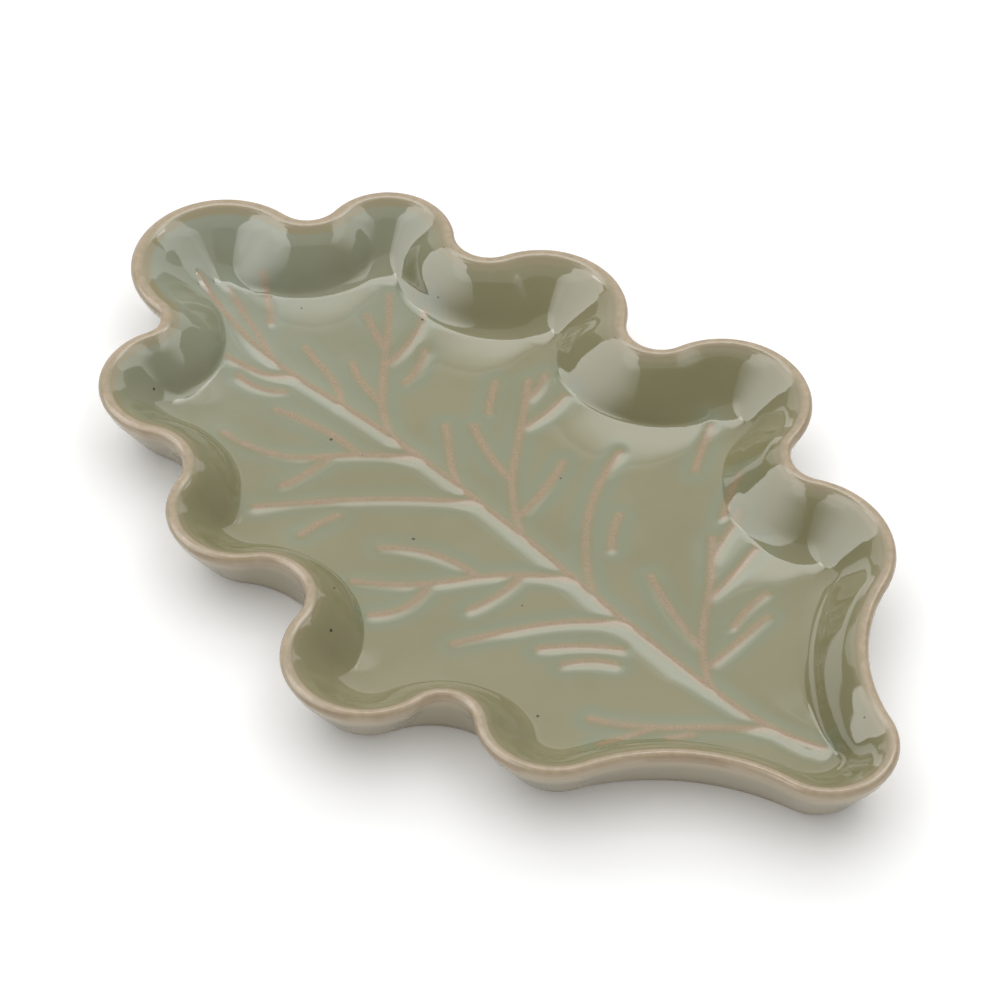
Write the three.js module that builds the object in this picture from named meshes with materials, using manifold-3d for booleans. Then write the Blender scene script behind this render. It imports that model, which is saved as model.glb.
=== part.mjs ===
// Leaf-shaped spoon rest in glazed stoneware: a pressed clay dish, leaf veins drawn on its floor in raised
// lines of clay slip, and a coat of glaze on the inside and on the outside of the wall.
// Millimetres, +Z up. +X points to the leaf's stem end and +Y to its right-hand side. The origin lies on
// the table, under the middle of the dish.

import * as THREE from 'three';
import loadManifold from 'manifold-3d';

const wasm = await loadManifold();
wasm.setup();

// Driving dimensions: the leaf, measured over the crest of its rim
const leafLength = 200;
const leafWidth = 126;

// The leaf is drawn at a length of 100 and with this share of it as its breadth, and the drawing is
// stretched to the leaf's length and width. The places, radii and lengths in the tables are in the
// drawing's units, and the angles are in degrees.
const drawnBreadthShare = 0.63;

// Rim outline, as drawn
// The crest of the rim is a chain of ten round lobes, listed anticlockwise from above. A notch, an arc that
// curves the other way and touches both lobes, joins each lobe to the next one. The run is how far the bowl's
// wall reaches in under the lobe, as a share of the section's own run: longer, and less steep, by the tip.
const lobes = [
  { place: 'stem end', along: 44.2, across: -0.2, radius: 6.1, notch: 19, run: 1 },
  { place: 'right, by the stem', along: 25.3, across: 14.4, radius: 9.2, notch: 4, run: 1.1 },
  { place: 'right, widest', along: 6.6, across: 23.5, radius: 8.1, notch: 4, run: 1.1 },
  { place: 'right, past the middle', along: -14.8, across: 19, radius: 8.1, notch: 4.2, run: 1.32 },
  { place: 'right, by the tip', along: -32.9, across: 14.7, radius: 6.2, notch: 4, run: 1.3 },
  { place: 'tip', along: -41.5, across: 0.2, radius: 8.7, notch: 2.6, run: 1.36 },
  { place: 'left, by the tip', along: -32.1, across: -14.2, radius: 6.9, notch: 4.8, run: 1.12 },
  { place: 'left, past the middle', along: -14.9, across: -20.4, radius: 6.7, notch: 5, run: 1 },
  { place: 'left, widest', along: 7.2, across: -24, radius: 7.6, notch: 3.5, run: 1 },
  { place: 'left, by the stem', along: 24.6, across: -16.2, radius: 7, notch: 19.4, run: 1 },
];

// Inside, a lobe of the outline narrows towards the floor down to the floor's corner radius. Outside, it
// stays rounder, and the notches widen by a further share, so that the foot is plainer than the rim.
const floorLobeRadius = 4.5;
const footLobeRadius = 7.9;
const lobeEase = 1.2;
const footNotchShare = 0.55;

// Driving dimensions: section through the wall
const rimHeight = 15;
const floorHeight = 3.8;
const lipOuterRadius = 1.2;
const lipInnerRadius = 2.2;
const innerWallSlope = THREE.MathUtils.degToRad(52);
const floorFillet = 8;
const heelRadius = 1.6;
const footInset = 8;
const footWidth = 3;
const recessDepth = 0.8;
const recessDraft = 0.8;

// Driving dimensions: glaze and slip lines
const glazeThickness = 0.4;
const glazeFeatherWidth = 2.4;
const midribWidth = 2.2;
const midribHeight = 1.05;
const lineWidth = 1.7;
const lineHeight = 0.85;
const lineClearance = 0.3;

// Shape of a slip line's section, as shares of its width and height, and the share left at its rounded ends
const shoulderReachShare = 0.36;
const shoulderRiseShare = 0.7;
const roundedEndShare = 0.45;

// The veins, as drawn on the floor
// The midrib runs from the stem end to the tip. A vein leaves it at a percentage of its length, leaning by
// an angle from the tip's direction towards its own side, and turns by one angle in each half of its
// length. A branch leaves its vein at a percentage of the vein's length. A dash starts at a point.
const midribRoute = [
  { along: 42.1, across: 1.4 },
  { along: 34.6, across: -0.4 },
  { along: 18.1, across: -0.7 },
  { along: 3.1, across: -0.3 },
  { along: -15.4, across: -0.7 },
  { along: -32.4, across: -2.4 },
  { along: -44.1, across: -0.8 },
];
const veins = [
  {
    name: 'vein_right_1', side: 1, leaves: 14.7, lean: 29, length: 19.3, turns: [24, -9],
    branches: [
      { at: 14, lean: 51, length: 8.8, turn: 0 },
      { at: 27, lean: -33, length: 10.5, turn: 14 },
      { at: 60, lean: 34, length: 8, turn: -8 },
      { at: 84, lean: 16, length: 6.3, turn: 16 },
    ],
  },
  { name: 'vein_right_2', side: 1, leaves: 33.4, lean: 31, length: 19.5, turns: [19, 25], branches: [] },
  {
    name: 'vein_right_3', side: 1, leaves: 45.2, lean: 27, length: 21, turns: [24, -1],
    branches: [
      { at: 12, lean: 51, length: 8.8, turn: -19 },
      { at: 36, lean: -39, length: 8.5, turn: 21 },
      { at: 70, lean: 52, length: 6, turn: -25 },
      { at: 87, lean: 40, length: 3.8, turn: -32 },
    ],
  },
  { name: 'vein_right_4', side: 1, leaves: 55.3, lean: 19, length: 8.8, turns: [20, -6], branches: [] },
  {
    name: 'vein_right_5', side: 1, leaves: 66.3, lean: 20, length: 13, turns: [25, 0],
    branches: [
      { at: 40, lean: -42, length: 6.3, turn: 31 },
      { at: 79, lean: 47, length: 8, turn: -38 },
      { at: 96, lean: -28, length: 5, turn: 7 },
      { at: 96, lean: 5, length: 7.3, turn: -10 },
    ],
  },
  { name: 'vein_right_6', side: 1, leaves: 74.4, lean: 42, length: 9, turns: [-32, 0], branches: [] },
  { name: 'vein_tip', side: 1, leaves: 85, lean: 22, length: 10.8, turns: [-7, 3], branches: [] },
  {
    name: 'vein_left_1', side: -1, leaves: 5.8, lean: 41, length: 17.3, turns: [9, -22],
    branches: [{ at: 64, lean: 28, length: 5.8, turn: 0 }],
  },
  { name: 'vein_left_2', side: -1, leaves: 27.7, lean: 36, length: 17, turns: [23, 9], branches: [] },
  {
    name: 'vein_left_3', side: -1, leaves: 36.3, lean: 31, length: 21.5, turns: [29, -18],
    branches: [
      { at: 24, lean: 57, length: 6.8, turn: -27 },
      { at: 44, lean: -56, length: 10.5, turn: 49 },
      { at: 66, lean: 63, length: 7.5, turn: -62 },
    ],
  },
  { name: 'vein_left_4', side: -1, leaves: 52.2, lean: 39, length: 22, turns: [10, 12], branches: [] },
  {
    name: 'vein_left_5', side: -1, leaves: 61.7, lean: 35, length: 20.3, turns: [20, -50],
    branches: [
      { at: 30, lean: -49, length: 10.5, turn: 26 },
      { at: 44, lean: 44, length: 6.3, turn: -15 },
    ],
  },
  { name: 'vein_left_6', side: -1, leaves: 81.3, lean: 55, length: 7.5, turns: [-33, -9], branches: [] },
];
const dashes = [
  { name: 'dash_right_1', side: 1, along: 25.4, across: 6.5, lean: 69, length: 5.3, turn: 25 },
  { name: 'dash_right_2', side: 1, along: 14.9, across: 15.5, lean: 54, length: 4.5, turn: 19 },
  { name: 'dash_right_3', side: 1, along: 8.4, across: 18, lean: 57, length: 6, turn: 4 },
  { name: 'dash_right_4', side: 1, along: 10.1, across: 5, lean: 42, length: 4.5, turn: 23 },
  { name: 'dash_right_5', side: 1, along: -11.4, across: 8.8, lean: 47, length: 4, turn: 9 },
  { name: 'dash_right_6', side: 1, along: -20.1, across: 5.5, lean: 82, length: 4.5, turn: -28 },
  { name: 'dash_tip', side: 1, along: -35.4, across: 1, lean: 41, length: 5.5, turn: -16 },
  { name: 'dash_left_1', side: -1, along: 32.6, across: -6.1, lean: 60, length: 2.4, turn: 0 },
  { name: 'dash_left_2', side: -1, along: 21.1, across: -5, lean: 30, length: 5, turn: 35 },
  { name: 'dash_left_3', side: -1, along: 20.1, across: -3.3, lean: 37, length: 7.8, turn: 19 },
  { name: 'dash_left_4', side: -1, along: -11.1, across: -11.5, lean: 73, length: 4.5, turn: 25 },
  { name: 'dash_left_5', side: -1, along: -27.4, across: -4.3, lean: 51, length: 5, turn: -52 },
];

// How finely curves are cut into facets
const lobeSteps = 8;
const notchSteps = 4;
const lipSteps = 4;
const heelSteps = 2;
const filletSteps = 4;
const lineStep = 5;

const { degToRad, lerp } = THREE.MathUtils;
const flat = (along, across) => new THREE.Vector2(along, across);
const drawnPoint = (item) => flat(item.along, item.across);

// Millimetres for one unit of the drawing, along and across the leaf, and for rounds and lengths
const stretch = flat(leafLength, leafWidth / drawnBreadthShare).divideScalar(100);
const drawingScale = (stretch.x + stretch.y) / 2;

const inside = { lobeRadius: floorLobeRadius, notchShare: 0, followsRun: true };
const outside = { lobeRadius: footLobeRadius, notchShare: footNotchShare, followsRun: false };

// Outlines

/** Centre of the notch arc that touches two lobes on the outer side of the chain. */
function notchCentre(lobe, next, notchRadius) {
  const reach = lobe.radius + notchRadius;
  const nextReach = next.radius + notchRadius;
  const step = next.centre.clone().sub(lobe.centre);
  const span = step.length();
  const forward = (reach ** 2 - nextReach ** 2 + span ** 2) / (2 * span);
  const outward = Math.sqrt(reach ** 2 - forward ** 2);
  const ahead = step.divideScalar(span);
  const aside = flat(ahead.y, -ahead.x);
  return lobe.centre.clone().addScaledVector(ahead, forward).addScaledVector(aside, outward);
}

/** Points along an arc, without its last one. */
function arcPoints(centre, radius, start, sweep, steps) {
  const points = [];
  for (let step = 0; step < steps; step += 1) {
    const angle = start + (sweep * step) / steps;
    points.push(flat(centre.x + radius * Math.cos(angle), centre.y + radius * Math.sin(angle)));
  }
  return points;
}

/** Angle from one direction to another, turning anticlockwise. */
function turnBetween(from, to) {
  return THREE.MathUtils.euclideanModulo(to - from, 2 * Math.PI);
}

/** Direction from one point to another. */
function bearing(from, to) {
  return Math.atan2(to.y - from.y, to.x - from.x);
}

/** The lobes at the crest, each with the direction that it points out in. */
function crestLobes() {
  const circles = lobes.map((lobe) => ({
    centre: drawnPoint(lobe).multiply(stretch),
    radius: lobe.radius * drawingScale,
    notch: lobe.notch * drawingScale,
    run: lobe.run,
  }));
  const notches = circles.map((lobe, i) => notchCentre(lobe, circles[(i + 1) % circles.length], lobe.notch));
  return circles.map((lobe, i) => {
    const before = bearing(lobe.centre, notches.at(i - 1));
    const after = bearing(lobe.centre, notches[i]);
    const outward = before + turnBetween(before, after) / 2;
    return { ...lobe, outward: flat(Math.cos(outward), Math.sin(outward)) };
  });
}

/**
 * The rim's outline moved in by an inset. Lobes shrink and notches widen. A lobe never gets tighter than
 * the face's least radius: it draws back whole instead, so that its corner stays round. On a face that
 * follows the runs of the lobes, each lobe moves in by its own share.
 */
function outlineAt(inset, face) {
  const rim = crestLobes();
  const insets = rim.map((lobe) => (face.followsRun ? inset * lobe.run : inset));
  const circles = rim.map((lobe, i) => {
    const spare = (lobe.radius - insets[i] - face.lobeRadius) / lobeEase;
    const radius = face.lobeRadius + lobeEase * Math.log1p(Math.exp(spare));
    const drawBack = insets[i] - (lobe.radius - radius);
    const centre = lobe.centre.clone().addScaledVector(lobe.outward, -drawBack);
    const notchInset = (insets[i] + insets[(i + 1) % insets.length]) / 2;
    return { centre, radius, notch: lobe.notch + notchInset + face.notchShare * Math.max(inset, 0) };
  });
  const notches = circles.map((lobe, i) => notchCentre(lobe, circles[(i + 1) % circles.length], lobe.notch));
  return circles.flatMap((lobe, i) => {
    const next = circles[(i + 1) % circles.length];
    const start = bearing(lobe.centre, notches.at(i - 1));
    const end = bearing(lobe.centre, notches[i]);
    const notchStart = bearing(notches[i], lobe.centre);
    const notchEnd = bearing(notches[i], next.centre);
    return [
      ...arcPoints(lobe.centre, lobe.radius, start, turnBetween(start, end), lobeSteps),
      ...arcPoints(notches[i], lobe.notch, notchStart, -turnBetween(notchEnd, notchStart), notchSteps),
    ];
  });
}

// Section through the wall: points hold an inset from the crest line (x) and a height above the table (y)

/** Point on a round of the section; the angle is measured from straight up, positive towards the bowl. */
function roundPoint(centre, radius, angle) {
  return flat(centre.x + radius * Math.sin(angle), centre.y + radius * Math.cos(angle));
}

/** Points from one angle of a round to another, both ends included. */
function roundPoints(centre, radius, from, to, steps) {
  return Array.from({ length: steps + 1 }, (_, i) => roundPoint(centre, radius, lerp(from, to, i / steps)));
}

const lipInnerCentre = flat(0, rimHeight - lipInnerRadius);
const lipOuterCentre = flat(0, rimHeight - lipOuterRadius);
const heelCentre = flat(footInset, heelRadius);
const lipInnerEdge = roundPoint(lipInnerCentre, lipInnerRadius, innerWallSlope);

/** Centre of the fillet that touches the inner wall and the floor. */
function filletCentre() {
  const height = floorHeight + floorFillet;
  const wallRun = lipInnerEdge.y + floorFillet * Math.cos(innerWallSlope) - height;
  const inset = lipInnerEdge.x + wallRun / Math.tan(innerWallSlope) + floorFillet * Math.sin(innerWallSlope);
  return flat(inset, height);
}

/** Angle of the outer wall's normal. The wall is the straight line that touches the lip and the heel. */
function outerWallAngle() {
  const rise = lipOuterCentre.clone().sub(heelCentre);
  const tilt = Math.asin((heelRadius - lipOuterRadius) / rise.length());
  const square = Math.atan2(rise.x, rise.y) - Math.PI / 2;
  return square + tilt;
}

const filletMiddle = filletCentre();
const outerWall = outerWallAngle();
const heelProfile = roundPoints(heelCentre, heelRadius, -Math.PI, outerWall, heelSteps);
const lipOuterProfile = roundPoints(lipOuterCentre, lipOuterRadius, outerWall, 0, lipSteps);
const lipInnerProfile = roundPoints(lipInnerCentre, lipInnerRadius, 0, innerWallSlope, lipSteps);
const underFillet = innerWallSlope - Math.PI;
const filletProfile = roundPoints(filletMiddle, floorFillet, underFillet, -Math.PI, filletSteps);

// Solids

/** The outline at one point of the section, as points in space. */
function ringAt({ x: inset, y: height }, face) {
  return outlineAt(inset, face).map((point) => new THREE.Vector3(point.x, point.y, height));
}

const insideRing = (point) => ringAt(point, inside);
const outsideRing = (point) => ringAt(point, outside);

/** Direction of a ring at each of its points. */
function ringDirections(ring) {
  return ring.map((_, i) => ring[(i + 1) % ring.length].clone().sub(ring.at(i - 1)).normalize());
}

/** A ring drawn in by a distance, square to itself, and lifted. */
function drawnIn(ring, distance, lift) {
  const directions = ringDirections(ring);
  return ring.map((point, i) => {
    const inward = new THREE.Vector3(-directions[i].y, directions[i].x, 0);
    return point.clone().addScaledVector(inward, distance).add(new THREE.Vector3(0, 0, lift));
  });
}

/** The ring at a share of the way from one ring to another, moved out square to the wall between them. */
function wallRing(upper, lower, share, thickness) {
  const ring = upper.map((point, i) => point.clone().lerp(lower[i], share));
  const directions = ringDirections(ring);
  return ring.map((point, i) => {
    const outward = lower[i].clone().sub(upper[i]).cross(directions[i]).normalize();
    return point.addScaledVector(outward, thickness);
  });
}

/** Two facets over four corners, split along the shorter diagonal, which neighbours then share. */
function facets(points, a, b, c, d) {
  const straight = points[a].distanceToSquared(points[c]);
  const crossed = points[b].distanceToSquared(points[d]);
  return straight <= crossed ? [a, b, c, a, c, d] : [a, b, d, b, c, d];
}

/**
 * Skin over a row of rings that have the same number of points. With two end outlines the first and last
 * rings are closed by flat faces; without them the last ring joins the first one.
 */
function loft(rings, ends) {
  const size = rings[0].length;
  const points = rings.flat();
  const positions = points.flatMap((point) => point.toArray());
  const triangles = [];
  const strips = ends ? rings.length - 1 : rings.length;
  for (let ring = 0; ring < strips; ring += 1) {
    const here = ring * size;
    const there = ((ring + 1) % rings.length) * size;
    for (let i = 0; i < size; i += 1) {
      const next = (i + 1) % size;
      triangles.push(...facets(points, here + i, here + next, there + next, there + i));
    }
  }
  if (ends) {
    const last = (rings.length - 1) * size;
    THREE.ShapeUtils.triangulateShape(ends[0], []).forEach(([a, b, c]) => triangles.push(c, b, a));
    THREE.ShapeUtils.triangulateShape(ends[1], []).forEach(([a, b, c]) => {
      triangles.push(last + a, last + b, last + c);
    });
  }
  const geometry = new THREE.BufferGeometry();
  geometry.setAttribute('position', new THREE.Float32BufferAttribute(positions, 3));
  geometry.setIndex(triangles);
  return geometry;
}

/** Skin over a row of rings, closed flat at both ends. */
function dishLoft(rings) {
  return loft(rings, [rings[0], rings.at(-1)]);
}

/** A geometry as a solid that can be joined and cut. */
function solidOf(geometry) {
  const vertProperties = new Float32Array(geometry.getAttribute('position').array);
  const triVerts = new Uint32Array(geometry.getIndex().array);
  return new wasm.Manifold(new wasm.Mesh({ numProp: 3, vertProperties, triVerts }));
}

/** A joined or cut solid as a geometry. */
function geometryOf(solid) {
  const { vertProperties, triVerts } = solid.getMesh();
  const geometry = new THREE.BufferGeometry();
  geometry.setAttribute('position', new THREE.BufferAttribute(vertProperties, 3));
  geometry.setIndex(new THREE.BufferAttribute(triVerts, 1));
  return geometry;
}

// Slip lines

const filletOutlines = filletProfile.map((section) => outlineAt(section.x, inside));

/** Level distance from a point to a closed outline. */
function distanceTo(outline, point) {
  const edge = new THREE.Line3();
  const nearest = new THREE.Vector3();
  const here = new THREE.Vector3(point.x, point.y, 0);
  const distances = outline.map((corner, i) => {
    const next = outline[(i + 1) % outline.length];
    edge.start.set(corner.x, corner.y, 0);
    edge.end.set(next.x, next.y, 0);
    return edge.closestPointToPoint(here, true, nearest).distanceTo(here);
  });
  return Math.min(...distances);
}

/** Whether a closed outline goes round a point. */
function goesRound(outline, point) {
  return outline.reduce((within, corner, i) => {
    const next = outline[(i + 1) % outline.length];
    const passes = corner.y > point.y !== next.y > point.y;
    const crossing = corner.x + ((point.y - corner.y) * (next.x - corner.x)) / (next.y - corner.y);
    return passes && point.x < crossing ? !within : within;
  }, false);
}

/** Height of the underside of a slip line: on the floor, and just clear of the fillet where it climbs. */
function seatHeight(point) {
  const below = filletOutlines.findIndex((outline) => !goesRound(outline, point));
  if (below < 0) {
    return floorHeight;
  }
  const above = Math.max(below - 1, 0);
  const fromAbove = distanceTo(filletOutlines[above], point);
  const fromBelow = distanceTo(filletOutlines[below], point);
  const share = fromAbove / (fromAbove + fromBelow);
  return lerp(filletProfile[above].y, filletProfile[below].y, share) + lineClearance;
}

/** Where an arc drawn from a point ends, and the lean that it has there. */
function drawArc(start, side, lean, length, turn) {
  const half = turn / 2;
  const chord = half === 0 ? length : (length * Math.sin(half)) / half;
  const end = flat(start.x - chord * Math.cos(lean + half), start.y + side * chord * Math.sin(lean + half));
  return { point: end, lean: lean + turn };
}

/** Point and lean at a distance along a line that turns by one angle in each half of its length. */
function alongLine(line, distance) {
  const half = line.length / 2;
  const first = Math.min(distance, half);
  const second = distance - first;
  const knee = drawArc(line.start, line.side, line.lean, first, (line.turns[0] * first) / half);
  return drawArc(knee.point, line.side, knee.lean, second, (line.turns[1] * second) / half);
}

/** Distances at which a line is cut into sections, with one just inside each rounded end. */
function stations(length, width) {
  const steps = Math.max(2, Math.round((length - width) / lineStep));
  const middle = Array.from({ length: steps + 1 }, (_, i) => lerp(width / 2, length - width / 2, i / steps));
  return [0, ...middle, length];
}

/** Half-round section of a slip line, listed anticlockwise when looking back along it. */
function slipSection(width, height) {
  const shoulder = flat(width * shoulderReachShare, height * shoulderRiseShare);
  return [
    flat(width / 2, 0),
    shoulder,
    flat(0, height),
    flat(-shoulder.x, shoulder.y),
    flat(-width / 2, 0),
  ];
}

/** Square-cut section that clears a slip line by the line clearance, from under its seat to over its top. */
function slotSection(width, height) {
  const reach = width / 2 + lineClearance;
  return [
    flat(reach, -height),
    flat(reach, 2 * height),
    flat(-reach, 2 * height),
    flat(-reach, -height),
  ];
}

/** Sweep of a section along a route of plan points, with each section standing on the floor. */
function sweepSection(route, section, endScale) {
  const rings = route.map((point, i) => {
    const before = route[Math.max(i - 1, 0)];
    const after = route[Math.min(i + 1, route.length - 1)];
    const ahead = after.clone().sub(before).normalize();
    const scale = i === 0 || i === route.length - 1 ? endScale : 1;
    return section.map((corner) => {
      const across = corner.x * scale;
      const foot = flat(point.x - ahead.y * across, point.y + ahead.x * across);
      const rise = corner.y > 0 ? corner.y * scale : corner.y;
      return new THREE.Vector3(foot.x, foot.y, seatHeight(foot) + rise);
    });
  });
  return loft(rings, [section, section]);
}

/** Route of a drawn line that turns by one angle in each half, as plan points of the leaf. */
function routeOf(line, width) {
  const distances = stations(line.length * drawingScale, width);
  return distances.map((distance) => alongLine(line, distance / drawingScale).point.multiply(stretch));
}

/** A route made longer at both ends, for a slot that clears the ends of its line too. */
function lengthened(route, extra) {
  const first = route[0].clone().sub(route[1]).setLength(extra).add(route[0]);
  const last = route.at(-1).clone().sub(route.at(-2)).setLength(extra).add(route.at(-1));
  return [first, ...route.slice(1, -1), last];
}

/** One slip line and the slot that clears it, as solids. */
function slipLine(route, width, height) {
  return {
    body: solidOf(sweepSection(route, slipSection(width, height), roundedEndShare)),
    slot: solidOf(sweepSection(lengthened(route, lineClearance), slotSection(width, height), 1)),
  };
}

const midribCurve = new THREE.SplineCurve(midribRoute.map(drawnPoint));

function makeMidrib() {
  const length = midribCurve.getLength() * drawingScale;
  const distances = stations(length, midribWidth);
  const route = distances.map((distance) => midribCurve.getPointAt(distance / length).multiply(stretch));
  return slipLine(route, midribWidth, midribHeight);
}

/** A vein as drawn: its start on the midrib, with angles in radians. */
function drawnVein(vein) {
  return {
    start: midribCurve.getPointAt(vein.leaves / 100),
    side: vein.side,
    lean: degToRad(vein.lean),
    length: vein.length,
    turns: vein.turns.map(degToRad),
  };
}

/** A branch as drawn from a point along its vein. */
function drawnBranch(line, branch) {
  const root = alongLine(line, (line.length * branch.at) / 100);
  return {
    start: root.point,
    side: line.side,
    lean: root.lean + degToRad(branch.lean),
    length: branch.length,
    turns: [degToRad(branch.turn) / 2, degToRad(branch.turn) / 2],
  };
}

/** A vein with its branches joined on, kept clear of the midrib. */
function makeVein(vein, midrib) {
  const line = drawnVein(vein);
  const drawn = [line, ...vein.branches.map((branch) => drawnBranch(line, branch))];
  const strokes = drawn.map((stroke) => slipLine(routeOf(stroke, lineWidth), lineWidth, lineHeight));
  return {
    body: strokes.map((stroke) => stroke.body).reduce((sum, body) => sum.add(body)).subtract(midrib.slot),
    slot: strokes.map((stroke) => stroke.slot).reduce((sum, slot) => sum.add(slot)),
  };
}

function makeDash(dash) {
  const line = {
    start: drawnPoint(dash),
    side: dash.side,
    lean: degToRad(dash.lean),
    length: dash.length,
    turns: [degToRad(dash.turn) / 2, degToRad(dash.turn) / 2],
  };
  return slipLine(routeOf(line, lineWidth), lineWidth, lineHeight);
}

// Pieces

/** The pressed dish: foot ring and recess, heel, outer wall, lip, inner wall, fillet and floor. */
function makeClayBody() {
  const wall = [...heelProfile, ...lipOuterProfile].map(outsideRing);
  const bowl = [...lipInnerProfile.slice(1), ...filletProfile].map(insideRing);
  const footInnerEdge = drawnIn(wall[0], footWidth, 0);
  const recessEdge = drawnIn(wall[0], footWidth + recessDraft, recessDepth);
  return dishLoft([recessEdge, footInnerEdge, ...wall, ...bowl]);
}

/** The coat inside: it thins out to nothing at the lip and is open along every slip line. */
function makeInnerGlaze(slots) {
  const coated = roundPoints(filletMiddle, floorFillet - glazeThickness, underFillet, -Math.PI, filletSteps);
  const section = [...filletProfile.toReversed(), lipInnerEdge, ...coated];
  const coat = solidOf(dishLoft(section.map(insideRing)));
  return geometryOf(slots.reduce((left, slot) => left.subtract(slot), coat));
}

/** The coat outside: it thins out to nothing under the lip and above the heel. */
function makeOuterGlaze() {
  const upper = outsideRing(lipOuterProfile[0]);
  const lower = outsideRing(heelProfile.at(-1));
  const share = glazeFeatherWidth / lipOuterProfile[0].distanceTo(heelProfile.at(-1));
  const upperCoat = wallRing(upper, lower, share, glazeThickness);
  const lowerCoat = wallRing(upper, lower, 1 - share, glazeThickness);
  return loft([upper, lower, lowerCoat, upperCoat]);
}

const stoneware = new THREE.MeshStandardMaterial({ color: 0xb39a7e, roughness: 0.55, metalness: 0 });
const slip = new THREE.MeshStandardMaterial({ color: 0xc2a185, roughness: 0.35, metalness: 0 });
const glaze = new THREE.MeshStandardMaterial({ color: 0x8f9475, roughness: 0.12, metalness: 0 });

function addPiece(group, name, geometry, material) {
  const piece = new THREE.Mesh(geometry, material);
  piece.name = name;
  piece.geometry.computeVertexNormals();
  group.add(piece);
}

function buildSpoonRest() {
  const group = new THREE.Group();
  const midrib = makeMidrib();
  const lines = [
    { name: 'midrib', ...midrib },
    ...veins.map((vein) => ({ name: vein.name, ...makeVein(vein, midrib) })),
    ...dashes.map((dash) => ({ name: dash.name, ...makeDash(dash) })),
  ];
  addPiece(group, 'clay_body', makeClayBody(), stoneware);
  addPiece(group, 'inner_glaze', makeInnerGlaze(lines.map((line) => line.slot)), glaze);
  addPiece(group, 'outer_glaze', makeOuterGlaze(), glaze);
  lines.forEach((line) => addPiece(group, line.name, geometryOf(line.body), slip));
  return group;
}

export default buildSpoonRest();
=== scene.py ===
"""Looks of the leaf-shaped spoon rest in glazed stoneware.

The dish is lofted again from the part's own drawing, with finer curves: the pressed clay body, the coat of
glaze inside, which swells over the slip lines of the leaf's veins, and the coat outside. The slip lines
are the part's own solids and lie under the glaze. The drawing and the section through the wall are in
millimetres. Meshes are made in metres, in the part's frame: +Z up, +X to the leaf's stem end.
"""

import math
from collections import namedtuple

import bpy
import numpy as np
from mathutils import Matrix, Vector
from mathutils.geometry import delaunay_2d_cdt
from mathutils.kdtree import KDTree


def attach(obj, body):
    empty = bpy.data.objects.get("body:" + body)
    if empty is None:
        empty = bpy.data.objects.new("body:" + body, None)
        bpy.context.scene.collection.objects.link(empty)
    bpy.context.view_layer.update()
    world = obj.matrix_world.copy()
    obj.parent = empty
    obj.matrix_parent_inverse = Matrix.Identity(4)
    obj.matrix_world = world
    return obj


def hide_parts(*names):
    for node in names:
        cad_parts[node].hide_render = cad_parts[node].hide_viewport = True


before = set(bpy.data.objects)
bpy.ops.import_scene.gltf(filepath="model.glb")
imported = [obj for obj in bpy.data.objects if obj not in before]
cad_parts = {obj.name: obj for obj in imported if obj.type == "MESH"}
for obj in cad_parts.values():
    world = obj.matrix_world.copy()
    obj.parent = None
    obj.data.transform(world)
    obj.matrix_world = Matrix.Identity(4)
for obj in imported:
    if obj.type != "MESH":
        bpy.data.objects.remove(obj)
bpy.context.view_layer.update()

MM = 0.001

# The leaf's drawing, in units, stretched to the leaf's length and width over the crest of its rim
LEAF_LENGTH = 200.0
LEAF_WIDTH = 126.0
DRAWN_LENGTH = 100.0
DRAWN_BREADTH_SHARE = 0.63

Lobe = namedtuple("Lobe", "place along across radius notch run")
LOBES = (
    Lobe("stem end", 44.2, -0.2, 6.1, 19.0, 1.0),
    Lobe("right, by the stem", 25.3, 14.4, 9.2, 4.0, 1.1),
    Lobe("right, widest", 6.6, 23.5, 8.1, 4.0, 1.1),
    Lobe("right, past the middle", -14.8, 19.0, 8.1, 4.2, 1.32),
    Lobe("right, by the tip", -32.9, 14.7, 6.2, 4.0, 1.3),
    Lobe("tip", -41.5, 0.2, 8.7, 2.6, 1.36),
    Lobe("left, by the tip", -32.1, -14.2, 6.9, 4.8, 1.12),
    Lobe("left, past the middle", -14.9, -20.4, 6.7, 5.0, 1.0),
    Lobe("left, widest", 7.2, -24.0, 7.6, 3.5, 1.0),
    Lobe("left, by the stem", 24.6, -16.2, 7.0, 19.4, 1.0),
)

# How a lobe of the outline narrows, inside towards the floor and outside towards the foot
Face = namedtuple("Face", "lobe_radius notch_share follows_run")
INSIDE = Face(4.5, 0.0, True)
OUTSIDE = Face(7.9, 0.55, False)
LOBE_EASE = 1.2

# Section through the wall
RIM_HEIGHT = 15.0
FLOOR_HEIGHT = 3.8
LIP_OUTER_RADIUS = 1.2
LIP_INNER_RADIUS = 2.2
INNER_WALL_SLOPE = math.radians(52)
FLOOR_FILLET = 8.0
HEEL_RADIUS = 1.6
FOOT_INSET = 8.0
FOOT_WIDTH = 3.0
RECESS_DEPTH = 0.8
RECESS_DRAFT = 0.8
GLAZE_THICKNESS = 0.4
GLAZE_FEATHER = 2.4
GLAZE_STARTS = math.radians(36)
FOOT_CHAMFER = 0.15

# How far the hidden back of a coat of glaze lies off the clay's face: over it inside, under it outside
GLAZE_SEAT = 0.06

# Outer coat: where its back lies, as shares of the way down the wall, how far below the lip it stays tan,
# over what length it then turns, and how strongly it pools
COAT_BACK = (0.2, 0.8)
LIP_TAN_DEPTH = 0.4
LIP_TAN_FADE = 3.2
OUTER_POOL = 0.8

# Clay body, along rows of its section: how iron shows more and then less on the lip's outer round, how the
# pale veil outside, partly painted light, ends on it, and how bare the heel is
LIP_WEAR_GROWS = (0.4, 1.6, 5)
LIP_WEAR_FADES = (0.8, 0.0, 4)
VEIL_AND_SHEEN_FADES = (1.2, 0.0)
HEEL_BARENESS = (0.9, 0.3)

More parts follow.
